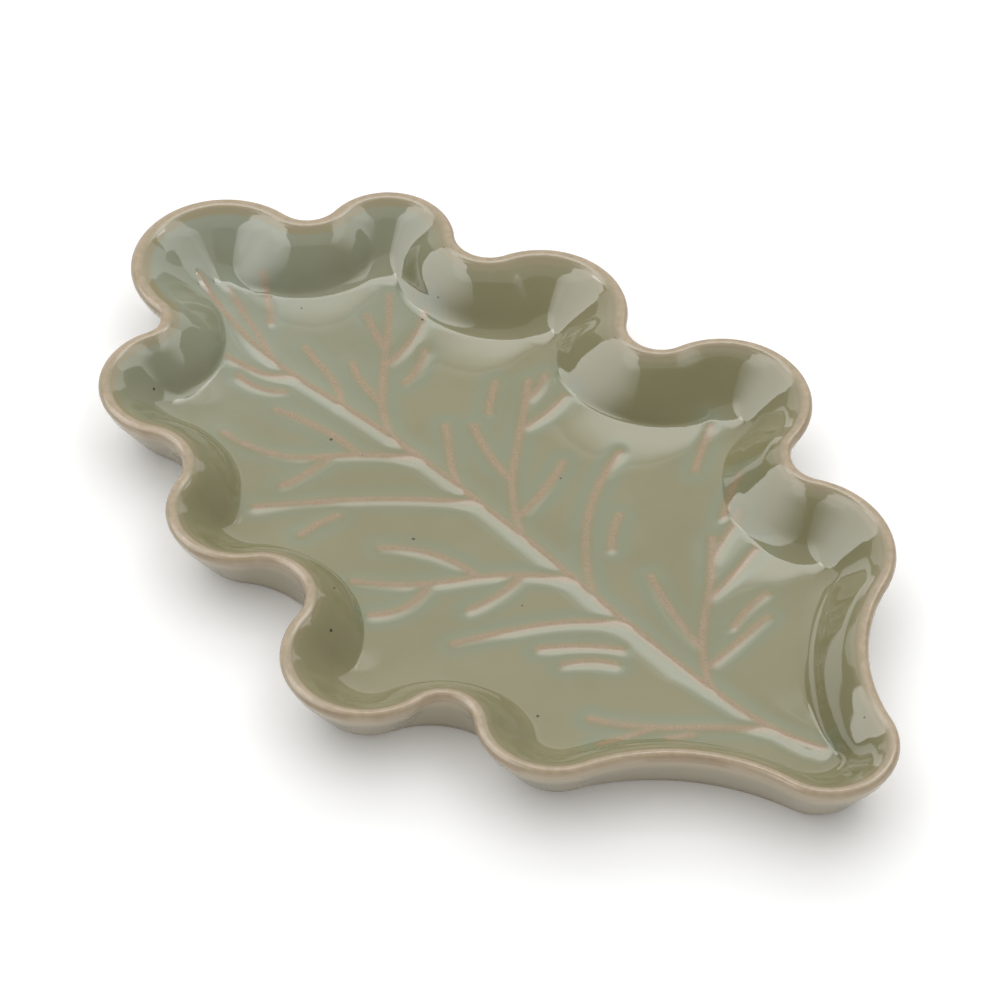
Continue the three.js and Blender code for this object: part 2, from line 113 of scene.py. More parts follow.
# Folds sharper than this, at a coat's feathered edges, are not shaded smooth
FEATHER_FOLD = math.radians(80)

# The glaze pools deeper on the floor than on the wall
FLOOR_POOL = 0.35

# The glazed floor is slightly dished: it climbs by this much towards the fillet, over this reach
EDGE_RISE = 1.3
EDGE_REACH = 15.0
EDGE_POWER = 1.6
EDGE_SLOPE = math.atan(EDGE_POWER * EDGE_RISE / EDGE_REACH)

# Veins as drawn: angles in degrees, places on a longer line in percent of its length
RIGHT = 1
LEFT = -1
MIDRIB_ROUTE = (
    (42.1, 1.4), (34.6, -0.4), (18.1, -0.7), (3.1, -0.3), (-15.4, -0.7), (-32.4, -2.4), (-44.1, -0.8),
)
Vein = namedtuple("Vein", "side leaves lean length turns branches")
Branch = namedtuple("Branch", "at lean length turn")
Dash = namedtuple("Dash", "side along across lean length turn")
VEINS = (
    Vein(RIGHT, 14.7, 29, 19.3, (24, -9), (
        Branch(14, 51, 8.8, 0), Branch(27, -33, 10.5, 14),
        Branch(60, 34, 8.0, -8), Branch(84, 16, 6.3, 16),
    )),
    Vein(RIGHT, 33.4, 31, 19.5, (19, 25), ()),
    Vein(RIGHT, 45.2, 27, 21.0, (24, -1), (
        Branch(12, 51, 8.8, -19), Branch(36, -39, 8.5, 21),
        Branch(70, 52, 6.0, -25), Branch(87, 40, 3.8, -32),
    )),
    Vein(RIGHT, 55.3, 19, 8.8, (20, -6), ()),
    Vein(RIGHT, 66.3, 20, 13.0, (25, 0), (
        Branch(40, -42, 6.3, 31), Branch(79, 47, 8.0, -38),
        Branch(96, -28, 5.0, 7), Branch(96, 5, 7.3, -10),
    )),
    Vein(RIGHT, 74.4, 42, 9.0, (-32, 0), ()),
    Vein(RIGHT, 85.0, 22, 10.8, (-7, 3), ()),
    Vein(LEFT, 5.8, 41, 17.3, (9, -22), (Branch(64, 28, 5.8, 0),)),
    Vein(LEFT, 27.7, 36, 17.0, (23, 9), ()),
    Vein(LEFT, 36.3, 31, 21.5, (29, -18), (
        Branch(24, 57, 6.8, -27), Branch(44, -56, 10.5, 49), Branch(66, 63, 7.5, -62),
    )),
    Vein(LEFT, 52.2, 39, 22.0, (10, 12), ()),
    Vein(LEFT, 61.7, 35, 20.3, (20, -50), (Branch(30, -49, 10.5, 26), Branch(44, 44, 6.3, -15))),
    Vein(LEFT, 81.3, 55, 7.5, (-33, -9), ()),
)
DASHES = (
    Dash(RIGHT, 25.4, 6.5, 69, 5.3, 25),
    Dash(RIGHT, 14.9, 15.5, 54, 4.5, 19),
    Dash(RIGHT, 8.4, 18.0, 57, 6.0, 4),
    Dash(RIGHT, 10.1, 5.0, 42, 4.5, 23),
    Dash(RIGHT, -11.4, 8.8, 47, 4.0, 9),
    Dash(RIGHT, -20.1, 5.5, 82, 4.5, -28),
    Dash(RIGHT, -35.4, 1.0, 41, 5.5, -16),
    Dash(LEFT, 32.6, -6.1, 60, 2.4, 0),
    Dash(LEFT, 21.1, -5.0, 30, 5.0, 35),
    Dash(LEFT, 20.1, -3.3, 37, 7.8, 19),
    Dash(LEFT, -11.1, -11.5, 73, 4.5, 25),
    Dash(LEFT, -27.4, -4.3, 51, 5.0, -52),
)

# How finely the curves are cut: lengths, then numbers of rows or cuts
RIM_STEP = 0.62
LINE_STEP = 0.25
FLOOR_MESH = 0.46
FLOOR_MESH_CLEARANCE = 0.55 * FLOOR_MESH
HEEL_ROWS = 9
BARE_HEEL_ROWS = 3
OUTER_ROWS = 15
LIP_OUTER_ROWS = 9
LIP_INNER_ROWS = 7
MIDRIB_CUTS = 60

# Steps along the lip, the wall and the fillet: of the glaze, of the clay under it and of the glaze's back
GLAZE_STEPS = (5, 9, 20)
CLAY_STEPS = (2, 2, 4)
BACK_STEPS = (1, 1, 4)

# Points whose distance to the floor's edge is measured at once, and the least distance that counts
MEASURED_AT_ONCE = 2000
LEAST_DISTANCE = 0.01

# The floor's triangles: only those inside its edge are kept, and points as close as this become one
KEEP_INSIDE = 1
JOIN_DISTANCE = 1e-6

# Camera: the photo's view, found by fitting the rim's outline
CAMERA_AIM = Vector((3.18, -3.58, 15.0)) * MM
CAMERA_LOOKS = Vector((-0.4996, 0.4642, -0.7314))
CAMERA_DISTANCE = 961.3 * MM
CAMERA_LENS = 180.0
CAMERA_SENSOR = 36.0
CAMERA_REACH = 20.0

stretch = np.array([LEAF_LENGTH, LEAF_WIDTH / DRAWN_BREADTH_SHARE]) / DRAWN_LENGTH
drawing_scale = stretch.mean()


def smooth(value):
    """Ease from 0 to 1."""
    value = np.clip(value, 0.0, 1.0)
    return value * value * (3 - 2 * value)


# Outlines


def bearing(start, end):
    """Directions from points to other points."""
    return np.arctan2(end[:, 1] - start[:, 1], end[:, 0] - start[:, 0])


def notch_centres(centres, radii, notches):
    """Centres of the notch arcs, each touching a lobe and the next one on the outer side of the chain."""
    step = np.roll(centres, -1, axis=0) - centres
    span = np.linalg.norm(step, axis=1)
    reach = radii + notches
    next_reach = np.roll(radii, -1) + notches
    forward = (reach**2 - next_reach**2 + span**2) / (2 * span)
    outward = np.sqrt(reach**2 - forward**2)
    ahead = step / span[:, None]
    aside = np.stack([ahead[:, 1], -ahead[:, 0]], axis=1)
    return centres + ahead * forward[:, None] + aside * outward[:, None]


def chain_angles(centres, hollows):
    """Start and sweep of each lobe's arc, then of the notch's arc after it."""
    start = bearing(centres, np.roll(hollows, 1, axis=0))
    sweep = (bearing(centres, hollows) - start) % math.tau
    notch_start = bearing(hollows, centres)
    notch_end = bearing(hollows, np.roll(centres, -1, axis=0))
    return start, sweep, notch_start, -((notch_start - notch_end) % math.tau)


def arc(centre, radius, start, sweep, steps):
    """Points along an arc, without its last one."""
    angles = start + sweep * np.arange(steps) / steps
    return centre + radius * np.stack([np.cos(angles), np.sin(angles)], axis=1)


crest_centres = np.array([(lobe.along, lobe.across) for lobe in LOBES]) * stretch
crest_radii = np.array([lobe.radius for lobe in LOBES]) * drawing_scale
crest_notches = np.array([lobe.notch for lobe in LOBES]) * drawing_scale
lobe_runs = np.array([lobe.run for lobe in LOBES])
crest_hollows = notch_centres(crest_centres, crest_radii, crest_notches)
crest_start, crest_sweep, notch_start, notch_sweep = chain_angles(crest_centres, crest_hollows)
lobe_steps = np.ceil(crest_radii * crest_sweep / RIM_STEP).astype(int)
notch_steps = np.ceil(crest_notches * -notch_sweep / RIM_STEP).astype(int)
middle_angle = crest_start + crest_sweep / 2
lobe_outward = np.stack([np.cos(middle_angle), np.sin(middle_angle)], axis=1)


def outline(inset, face):
    """The rim's outline moved in by an inset, with lobes that never get tighter than the face's radius."""
    insets = inset * (lobe_runs if face.follows_run else np.ones(len(LOBES)))
    spare = (crest_radii - insets - face.lobe_radius) / LOBE_EASE
    radii = face.lobe_radius + LOBE_EASE * np.log1p(np.exp(spare))
    draw_back = insets - (crest_radii - radii)
    centres = crest_centres - lobe_outward * draw_back[:, None]
    notch_insets = (insets + np.roll(insets, -1)) / 2
    notches = crest_notches + notch_insets + face.notch_share * max(inset, 0.0)
    hollows = notch_centres(centres, radii, notches)
    start, sweep, hollow_start, hollow_sweep = chain_angles(centres, hollows)
    points = []
    for i in range(len(LOBES)):
        points.append(arc(centres[i], radii[i], start[i], sweep[i], lobe_steps[i]))
        points.append(arc(hollows[i], notches[i], hollow_start[i], hollow_sweep[i], notch_steps[i]))
    return np.concatenate(points)


def ring(inset, height, face):
    """The outline at one point of the section, as points in space."""
    points = outline(inset, face)
    return np.column_stack([points, np.full(len(points), height)])


def rings_of(rows, face):
    """The outline at each row of a section."""
    return [ring(row[0], row[1], face) for row in rows]


def ring_directions(points):
    """Direction of a ring at each of its points."""
    ahead = np.roll(points, -1, axis=0) - np.roll(points, 1, axis=0)
    return ahead / np.linalg.norm(ahead, axis=1)[:, None]


def drawn_in(points, distance, lift):
    """A ring drawn in by a distance, square to itself, and lifted."""
    ahead = ring_directions(points)
    inward = np.column_stack([-ahead[:, 1], ahead[:, 0], np.zeros(len(points))])
    return points + inward * distance + np.array([0.0, 0.0, lift])


# Section: rows of inset from the crest, height, and the surface's normal in the same two directions

# Which way the surface of a round faces: away from its centre, or towards it
CONVEX = 1
HOLLOW = -1


def round_section(centre, radius, angles, side):
    """Rows along a round of the section; angles run from straight up, positive towards the bowl."""
    across, up = np.sin(angles), np.cos(angles)
    return np.column_stack([centre[0] + radius * across, centre[1] + radius * up, side * across, side * up])


def fillet_centre():
    """Centre of the fillet that touches the inner wall and the floor."""
    height = FLOOR_HEIGHT + FLOOR_FILLET
    lip_edge_inset = LIP_INNER_RADIUS * math.sin(INNER_WALL_SLOPE)
    lip_edge_height = RIM_HEIGHT - LIP_INNER_RADIUS + LIP_INNER_RADIUS * math.cos(INNER_WALL_SLOPE)
    wall_run = lip_edge_height + FLOOR_FILLET * math.cos(INNER_WALL_SLOPE) - height
    fillet_run = FLOOR_FILLET * math.sin(INNER_WALL_SLOPE)
    inset = lip_edge_inset + wall_run / math.tan(INNER_WALL_SLOPE) + fillet_run
    return inset, height


def outer_wall_angle():
    """Angle of the outer wall's normal: the wall is the straight line that touches the lip and the heel."""
    rise = np.array([-FOOT_INSET, RIM_HEIGHT - LIP_OUTER_RADIUS - HEEL_RADIUS])
    tilt = math.asin((HEEL_RADIUS - LIP_OUTER_RADIUS) / np.linalg.norm(rise))
    return math.atan2(rise[0], rise[1]) - math.pi / 2 + tilt


lip_inner_centre = (0.0, RIM_HEIGHT - LIP_INNER_RADIUS)
lip_outer_centre = (0.0, RIM_HEIGHT - LIP_OUTER_RADIUS)
heel_centre = (FOOT_INSET, HEEL_RADIUS)
fillet_middle = fillet_centre()
outer_wall = outer_wall_angle()


def inside_section(lip_steps, wall_steps, fillet_steps, lift=0.0, end_slope=0.0):
    """The section from the edge of the inner glaze on the lip down to where the fillet meets the floor."""
    lip_angles = np.linspace(GLAZE_STARTS, INNER_WALL_SLOPE, lip_steps + 1)
    lip = round_section(lip_inner_centre, LIP_INNER_RADIUS, lip_angles, CONVEX)
    centre = (fillet_middle[0] - lift / math.tan(INNER_WALL_SLOPE), fillet_middle[1] + lift)
    fillet_angles = np.linspace(INNER_WALL_SLOPE, end_slope, fillet_steps + 1) - math.pi
    fillet = round_section(centre, FLOOR_FILLET, fillet_angles, HOLLOW)
    shares = np.arange(1, wall_steps)[:, None] / wall_steps
    wall = lip[-1] + (fillet[0] - lip[-1]) * shares
    return np.concatenate([lip, wall, fillet])


def travel_along(section):
    """Distance along a section up to each of its rows."""
    steps = np.linalg.norm(np.diff(section[:, :2], axis=0), axis=1)
    return np.concatenate([[0.0], np.cumsum(steps)])


# Leaf veins


def midrib_curve():
    """The midrib's route as drawn: a smooth curve through its points, cut finely."""
    points = np.array(MIDRIB_ROUTE)
    before = np.concatenate([points[:1], points[:-2]])
    after = np.concatenate([points[2:], points[-1:]])
    shares = np.linspace(0.0, 1.0, MIDRIB_CUTS, endpoint=False)[:, None]
    pieces = []
    for start, end, previous, following in zip(points[:-1], points[1:], before, after):
        leaving = (end - previous) / 2
        arriving = (following - start) / 2
        bend = 2 * start - 2 * end + leaving + arriving
        swing = 3 * (end - start) - 2 * leaving - arriving
        pieces.append(start + leaving * shares + swing * shares**2 + bend * shares**3)
    return np.concatenate(pieces + [points[-1:]])


def draw_arc(start, side, lean, length, turn):
    """Where an arc drawn from a point ends."""
    half = turn / 2
    chord = length * np.sinc(half / math.pi)
    return start + np.array([-chord * math.cos(lean + half), side * chord * math.sin(lean + half)])


def along_line(start, side, lean, length, turns, distance):
    """Point and lean at a distance along a line that turns by one angle in each half of its length."""
    half = length / 2
    first = min(distance, half)
    second = distance - first
    first_turn = turns[0] * first / half
    second_turn = turns[1] * second / half
    knee = draw_arc(start, side, lean, first, first_turn)
    return draw_arc(knee, side, lean + first_turn, second, second_turn), lean + first_turn + second_turn


def stroke(start, side, lean, length, turns):
    """A drawn line as plan points on the leaf."""
    steps = math.ceil(length * drawing_scale / LINE_STEP)
    distances = [length * step / steps for step in range(steps + 1)]
    return np.array([along_line(start, side, lean, length, turns, d)[0] for d in distances]) * stretch


def vein_strokes():
    """All the lines but the midrib: veins with their branches, and dashes."""
    curve = midrib_curve()
    travel = np.concatenate([[0.0], np.cumsum(np.linalg.norm(np.diff(curve, axis=0), axis=1))])
    strokes = []
    for vein in VEINS:
        distance = travel[-1] * vein.leaves / 100
        start = np.array([np.interp(distance, travel, curve[:, axis]) for axis in range(2)])
        lean = math.radians(vein.lean)
        turns = [math.radians(turn) for turn in vein.turns]
        strokes.append(stroke(start, vein.side, lean, vein.length, turns))
        for branch in vein.branches:
            distance = vein.length * branch.at / 100
            root, root_lean = along_line(start, vein.side, lean, vein.length, turns, distance)
            branch_lean = root_lean + math.radians(branch.lean)
            branch_turns = [math.radians(branch.turn) / 2] * 2
            strokes.append(stroke(root, vein.side, branch_lean, branch.length, branch_turns))
    for dash in DASHES:
        start = np.array([dash.along, dash.across])
        turns = [math.radians(dash.turn) / 2] * 2
        strokes.append(stroke(start, dash.side, math.radians(dash.lean), dash.length, turns))
    return strokes


# Meshes


def loft_faces(ring_count, size, wraps=False):
    """Four-sided faces between rings listed one after another, as corner numbers."""
    corner = np.arange(size)
    following = (corner + 1) % size
    faces = []
    for upper in range(ring_count if wraps else ring_count - 1):
        lower = (upper + 1) % ring_count
        first, second = upper * size, lower * size
        sides = [first + corner, first + following, second + following, second + corner]
        faces.extend(np.stack(sides, axis=1).tolist())
    return faces


def make_object(name, points, faces, material=None):
    """A mesh object from points in millimetres, smooth but for the folds at a coat's feathered edges."""
    mesh = bpy.data.meshes.new(name)
    mesh.from_pydata((np.asarray(points) * MM).tolist(), [], faces)
    mesh.shade_smooth()
    mesh.set_sharp_from_angle(angle=FEATHER_FOLD)
    if material is not None:
        mesh.materials.append(material)
    piece = bpy.data.objects.new(name, mesh)
    bpy.context.scene.collection.objects.link(piece)
    return piece


def store(mesh, name, values):
    """A value for each point of a mesh, for its material to read."""
    attribute = mesh.attributes.new(name, "FLOAT", "POINT")
    attribute.data.foreach_set("value", np.asarray(values, dtype=np.float32))


def stroke_object(name, strokes):
    """Lines lying flat at height zero, for measuring distances from."""
    points = np.concatenate(strokes)
    ends = np.cumsum([len(line) for line in strokes])
    edges = [(i, i + 1) for i in range(len(points) - 1) if i + 1 not in ends]
    mesh = bpy.data.meshes.new(name)
    flat = np.column_stack([points, np.zeros(len(points))]) * MM
    mesh.from_pydata(flat.tolist(), edges, [])
    lines = bpy.data.objects.new(name, mesh)
    bpy.context.scene.collection.objects.link(lines)
    return lines


def tree_of(points):
    """Search tree over plan points."""
    tree = KDTree(len(points))
    for i, point in enumerate(points):
        tree.insert((point[0], point[1], 0.0), i)
    tree.balance()
    return tree


def inside_polygon(points, polygon):
    """Which plan points lie inside a closed polygon."""
    inside = np.zeros(len(points), dtype=bool)
    x, y = points[:, 0], points[:, 1]
    for (ax, ay), (bx, by) in zip(polygon, np.roll(polygon, -1, axis=0)):
        crosses = (ay > y) != (by > y)
        if by != ay:
            inside ^= crosses & (x < ax + (y - ay) * (bx - ax) / (by - ay))
    return inside


def honeycomb(low, high, step):
    """Plan points of a triangle grid over a box."""
    rows = np.arange(low[1], high[1], step * math.sqrt(3) / 2)
    columns = np.arange(low[0], high[0], step)
    grid = []
    for i, across in enumerate(rows):
        shifted = columns + step / 2 * (i % 2)
        grid.append(np.column_stack([shifted, np.full(len(columns), across)]))
    return np.concatenate(grid)


def floor_points(edge):
    """Plan points to mesh the floor with, clear of its edge."""
    rim = tree_of(edge)
    grid = honeycomb(edge.min(axis=0), edge.max(axis=0), FLOOR_MESH)
    grid = grid[inside_polygon(grid, edge)]
    clear = [rim.find((point[0], point[1], 0.0))[2] > FLOOR_MESH_CLEARANCE for point in grid]
    return grid[clear]


def pull_of_line(along, aside):
    """Sum of 1 / distance^4 over a line, from the foot of the perpendicular to a place along it."""
    return along / (2 * aside**2 * (along**2 + aside**2)) + np.arctan(along / aside) / (2 * aside**3)


def edge_rise(points, edge):
    """How far the floor has climbed at plan points, from a distance to its edge that rounds off corners."""
    step = np.roll(edge, -1, axis=0) - edge
    length = np.linalg.norm(step, axis=1)
    ahead = step / length[:, None]
    climb = np.empty(len(points))
    for start in range(0, len(points), MEASURED_AT_ONCE):
        offset = points[start:start + MEASURED_AT_ONCE, None, :] - edge[None, :, :]
        along = (offset * ahead).sum(axis=2)
        aside = np.abs(offset[..., 0] * ahead[:, 1] - offset[..., 1] * ahead[:, 0])
        aside = np.maximum(aside, LEAST_DISTANCE)
        pull = pull_of_line(length - along, aside) + pull_of_line(along, aside)
        nearness = pull.sum(axis=1) * 2 / math.pi
        distance = nearness ** (-1 / 3)
        share = np.clip(1 - distance / EDGE_REACH, 0.0, 1.0)
        climb[start:start + MEASURED_AT_ONCE] = share ** EDGE_POWER
    return EDGE_RISE * climb


# Node helpers


def fill(tree, node, inputs):
    """Set a node's inputs, each to a constant or to another node's output."""
    for key, value in inputs.items():
        if isinstance(value, bpy.types.NodeSocket):
            tree.links.new(value, node.inputs[key])
        else:
            node.inputs[key].default_value = value


def add(tree, kind, inputs=None, **settings):
    """A node with its settings and inputs."""
    node = tree.nodes.new(kind)
    for name, value in settings.items():
        setattr(node, name, value)
    fill(tree, node, inputs or {})
    return node


def maths(tree, operation, first, second=0.0):
    """The result of a sum with one or two values."""
    return add(tree, "ShaderNodeMath", {0: first, 1: second}, operation=operation).outputs[0]


def ramp(tree, value, start, end, low=0.0, high=1.0):
    """A smooth change from one level to another while a value goes from start to end."""
    inputs = {"Value": value, "From Min": start, "From Max": end, "To Min": low, "To Max": high}
    return add(tree, "ShaderNodeMapRange", inputs, interpolation_type="SMOOTHSTEP").outputs[0]


# Relief of the slip lines, swelling through the inner glaze

RELIEF_SIZES = {
    "Midrib Rise": 0.05,
    "Midrib Reach": 1.9,
    "Midrib Swell": 0.64,
    "Midrib Swell Reach": 5.4,
    "Line Rise": 0.16,
    "Line Reach": 2.0,
    "Line Swell": 0.08,
    "Line Swell Reach": 4.0,
    "Swell Blend": 0.08,
    "Bare Reach": 1.0,
    "Pool Reach": 5.2,
}
RELIEF_SOFTENING = 3

# Shares of the bare reach: where the glaze starts to cover a line, and where it starts to pool beside it
BARE_CORE_SHARE = 0.3
POOL_START_SHARE = 0.7


def relief_tree():
    """Geometry nodes that lift the glaze over the lines and note where it is thin and where it pools."""
    tree = bpy.data.node_groups.new("slip_line_relief", "GeometryNodeTree")
    tree.is_modifier = True
    tree.interface.new_socket("Geometry", in_out="INPUT", socket_type="NodeSocketGeometry")
    tree.interface.new_socket("Midrib", in_out="INPUT", socket_type="NodeSocketObject")
    tree.interface.new_socket("Lines", in_out="INPUT", socket_type="NodeSocketObject")
    for name in RELIEF_SIZES:
        tree.interface.new_socket(name, in_out="INPUT", socket_type="NodeSocketFloat")
    tree.interface.new_socket("Softening", in_out="INPUT", socket_type="NodeSocketInt")
    tree.interface.new_socket("Glaze", in_out="INPUT", socket_type="NodeSocketMaterial")
    tree.interface.new_socket("Geometry", in_out="OUTPUT", socket_type="NodeSocketGeometry")
    given = tree.nodes.new("NodeGroupInput").outputs

    place = add(tree, "ShaderNodeSeparateXYZ", {0: tree.nodes.new("GeometryNodeInputPosition").outputs[0]})
    flat = add(tree, "ShaderNodeCombineXYZ", {"X": place.outputs["X"], "Y": place.outputs["Y"]}).outputs[0]

    def distance_to(lines):
        """Distance in plan from the lines of an object."""
        drawn = add(tree, "GeometryNodeObjectInfo", {"Object": lines}).outputs["Geometry"]
        measure = add(tree, "GeometryNodeProximity", {0: drawn}, target_element="EDGES")
        tree.links.new(flat, measure.inputs["Sample Position"])
        return measure.outputs["Distance"]

    def slope_off(distance, reach, height):
        """A height that falls off to nothing over a reach, steeply at first."""
        inputs = {"Value": distance, "From Min": 0.0, "From Max": reach, "To Min": 1.0, "To Max": 0.0}
        share = add(tree, "ShaderNodeMapRange", inputs).outputs[0]
        return maths(tree, "MULTIPLY", height, maths(tree, "MULTIPLY", share, share))

    from_midrib = distance_to(given["Midrib"])
    from_lines = distance_to(given["Lines"])
    ridge = maths(
        tree, "MAXIMUM",
        ramp(tree, from_midrib, 0.0, given["Midrib Reach"], given["Midrib Rise"], 0.0),
        ramp(tree, from_lines, 0.0, given["Line Reach"], given["Line Rise"], 0.0),
    )
    swell = add(
        tree, "ShaderNodeMath",
        {
            0: slope_off(from_midrib, given["Midrib Swell Reach"], given["Midrib Swell"]),
            1: slope_off(from_lines, given["Line Swell Reach"], given["Line Swell"]),
            2: given["Swell Blend"],
        },
        operation="SMOOTH_MAX",
    ).outputs[0]
    rise = add(
        tree, "GeometryNodeBlurAttribute",
        {"Value": maths(tree, "ADD", ridge, swell), "Iterations": given["Softening"]},
    ).outputs[0]
    nearest = maths(tree, "MINIMUM", from_midrib, from_lines)
    bare_core = maths(tree, "MULTIPLY", given["Bare Reach"], BARE_CORE_SHARE)
    bare = ramp(tree, nearest, bare_core, given["Bare Reach"], 1.0, 0.0)
    pool_start = maths(tree, "MULTIPLY", given["Bare Reach"], POOL_START_SHARE)
    pool = maths(
        tree, "MULTIPLY",
        ramp(tree, nearest, pool_start, given["Line Reach"]),
        ramp(tree, nearest, given["Line Reach"], given["Pool Reach"], 1.0, 0.0),
    )
    shape = given["Geometry"]
    for name, value in (("bare", bare), ("pool", pool)):
        shape = add(
            tree, "GeometryNodeStoreNamedAttribute",
            {"Geometry": shape, "Name": name, "Value": value}, data_type="FLOAT", domain="POINT",
        ).outputs[0]
    lift = add(tree, "ShaderNodeCombineXYZ", {"Z": rise}).outputs[0]
    shape = add(tree, "GeometryNodeSetPosition", {"Geometry": shape, "Offset": lift}).outputs[0]
    shape = add(tree, "GeometryNodeRealizeInstances", {"Geometry": shape}).outputs[0]
    shape = add(tree, "GeometryNodeSetMaterial", {"Geometry": shape, "Material": given["Glaze"]}).outputs[0]
    tree.links.new(shape, tree.nodes.new("NodeGroupOutput").inputs[0])
    return tree


def raise_lines(surface, midrib, lines, material):
    """The surface's mesh with the relief of the slip lines in it."""
    tree = relief_tree()
    modifier = surface.modifiers.new("slip lines", "NODES")
    modifier.node_group = tree
    values = {name: size * MM for name, size in RELIEF_SIZES.items()}
    values |= {"Midrib": midrib, "Lines": lines, "Softening": RELIEF_SOFTENING, "Glaze": material}
    for socket in tree.interface.items_tree:
        if socket.in_out == "INPUT" and socket.name in values:
            modifier[socket.identifier] = values[socket.name]
    graph = bpy.context.evaluated_depsgraph_get()
    raised = bpy.data.meshes.new_from_object(surface.evaluated_get(graph))
    surface.modifiers.remove(modifier)
    return raised


# Materials


def new_material(name):
    """A material with an empty node tree."""
    material = bpy.data.materials.new(name)
    material.use_nodes = True
    material.node_tree.nodes.clear()
    return material


def mix(tree, factor, first, second):
    """A blend of two colours."""
    return add(tree, "ShaderNodeMix", {0: factor, 6: first, 7: second}, data_type="RGBA").outputs[2]


def colour(red, green, blue):
    """An opaque colour, in linear light."""
    return (red, green, blue, 1.0)


def noise(tree, place, scale, detail=3.0):
    """Cloudy noise between 0 and 1, with a number of patches per metre."""
    inputs = {"Vector": place, "Scale": scale, "Detail": detail}
    return add(tree, "ShaderNodeTexNoise", inputs).outputs[0]


OLIVE = colour(0.206, 0.194, 0.099)
PALE_OLIVE = colour(0.227, 0.210, 0.111)
SEA_GREEN = colour(0.200, 0.217, 0.131)
PALE_TIP_GREEN = colour(0.245, 0.270, 0.200)
TAN = colour(0.315, 0.248, 0.150)
OLIVE_TAN = colour(0.258, 0.222, 0.126)
LIGHT_TAN = colour(0.385, 0.295, 0.195)
PINK_TAN = colour(0.314, 0.228, 0.140)
BURNT_TAN = colour(0.275, 0.182, 0.102)
# The outside's grey buff and pale tan are partly the thin glaze's own colour and partly painted light: made
# lighter to stand in for front light and the white table's reflection
GREY_BUFF_AND_SHEEN = colour(0.400, 0.355, 0.268)
PALE_TAN_AND_SHEEN = colour(0.420, 0.350, 0.248)
IRON_BROWN = colour(0.190, 0.105, 0.045)
IRON_SPECK = colour(0.060, 0.038, 0.020)
CLAY_BUFF = colour(0.420, 0.330, 0.230)
WHITE = colour(1.0, 1.0, 1.0)

# Scales of the noise in the finishes, in patches per metre
GLAZE_CLOUDS = 55.0
GLAZE_GRAIN = 420.0
GLAZE_RIPPLES = 190.0
LINE_SPECKLE = 2600.0
RIM_CLOUDS = 90.0
RIM_GRAIN = 700.0
SLIP_GRAIN = 900.0

# Levels of the noise, or of the glaze's cover for its edge, between which a colour comes in
NOISE_MIDDLE = 0.5
PALE_LEVELS = (0.35, 0.65)
POOL_LEVELS = (0.30, 0.62)
TIP_PALE_LEVELS = (0.3, 0.6)
EDGE_LEVELS = (0.1, 0.5)
LINE_LEVELS = (0.30, 0.60)
SPECKLE_LEVELS = (0.42, 0.70)
RIM_LEVELS = (0.3, 0.7)
IRON_LEVELS = (0.46, 0.66)

# How much of a colour there is at the two levels, where it is not none and all
POOL_SHARES = (0.40, 0.95)
TIP_PALE_SHARES = (0.5, 1.0)
LINE_SHARES = (0.55, 0.95)
IRON_SHARES = (0.0, 0.28)

# Iron specks: cells per metre, the share of cells without one, and the largest speck in cells
SPECK_CELLS = 260.0
SPECK_FREE_SHARE = 0.86
SPECK_SIZE = 0.10

GLAZE_IOR = 1.5
GLAZE_ROUGHNESS = 0.06
FILM_ROUGHNESS = 0.16
FOOT_ROUGHNESS = 0.75
SLIP_ROUGHNESS = 0.6
RIPPLE_HEIGHT = 0.012 * MM

# The glaze turns paler blue-green towards the tip, between these two places along the leaf, by up to this
# share
TIP_PALE_START = -30.0 * MM
TIP_PALE_FULL = -100.0 * MM
TIP_PALE_SHARE = 0.85

# Shares of grey buff in the glaze outside, partly painted light, and of grain in the glaze's thin edge
OUTSIDE_BUFF_AND_SHEEN = 0.8
EDGE_GRAIN = 0.45


def speck_group():
    """Iron specks burnt through the glaze: a mask that is 1 in a few small spots."""
    tree = bpy.data.node_groups.new("iron_specks", "ShaderNodeTree")
    tree.interface.new_socket("Specks", in_out="OUTPUT", socket_type="NodeSocketFloat")
    place = add(tree, "ShaderNodeTexCoord").outputs["Object"]
    cells = add(tree, "ShaderNodeTexVoronoi", {"Vector": place, "Scale": SPECK_CELLS})
    chance = add(tree, "ShaderNodeSeparateColor", {0: cells.outputs["Color"]})
    size = ramp(tree, chance.outputs[0], SPECK_FREE_SHARE, 1.0, 0.0, SPECK_SIZE)
    spot = maths(tree, "LESS_THAN", cells.outputs["Distance"], size)
    out = tree.nodes.new("NodeGroupOutput")
    tree.links.new(spot, out.inputs[0])
    return tree


